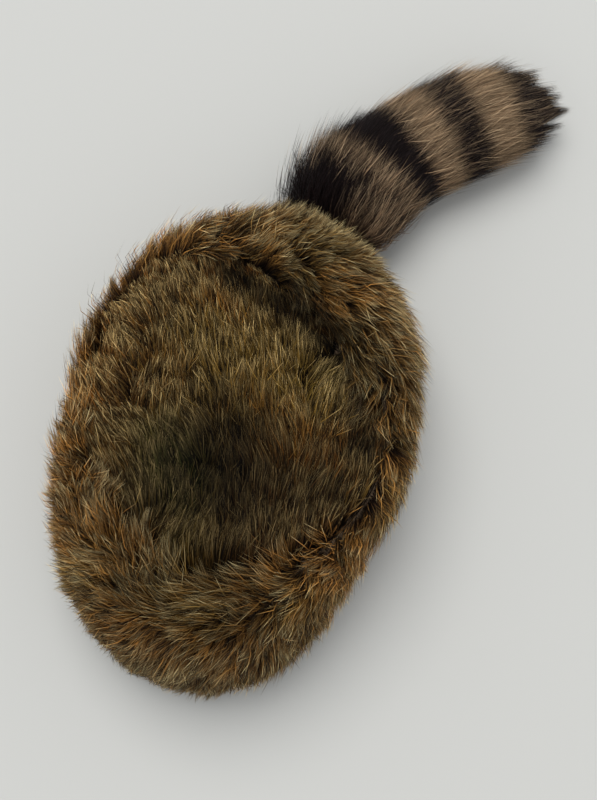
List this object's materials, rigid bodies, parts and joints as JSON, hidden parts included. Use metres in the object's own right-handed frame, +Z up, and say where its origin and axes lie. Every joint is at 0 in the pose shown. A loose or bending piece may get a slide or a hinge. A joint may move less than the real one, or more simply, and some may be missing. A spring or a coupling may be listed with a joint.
{
  "type": "coonskin cap",
  "caption": "Round brown fur cap with a raised furry side band and a bushy ringed tail sewn to the back, resting on its rim.",
  "frame": {"origin": "middle of the head opening, level with the edge of the rim that the cap rests on", "axes": "+Z up through the crown, -Y towards the front of the cap, +Y towards the back, where the tail is sewn on"},
  "size_m": [0.2025, 0.3796, 0.0909],
  "materials": {
    "crown_fur": "long dark olive brown pile over a woven backing",
    "band_fur": "long rusty brown pile with paler tips over a woven backing",
    "tail_fur": "long tan pile with blackish rings"
  },
  "bodies": {
    "root": {"crown": "crown_fur", "side_band": "band_fur", "tail": "tail_fur"}
  },
  "joints": []
}
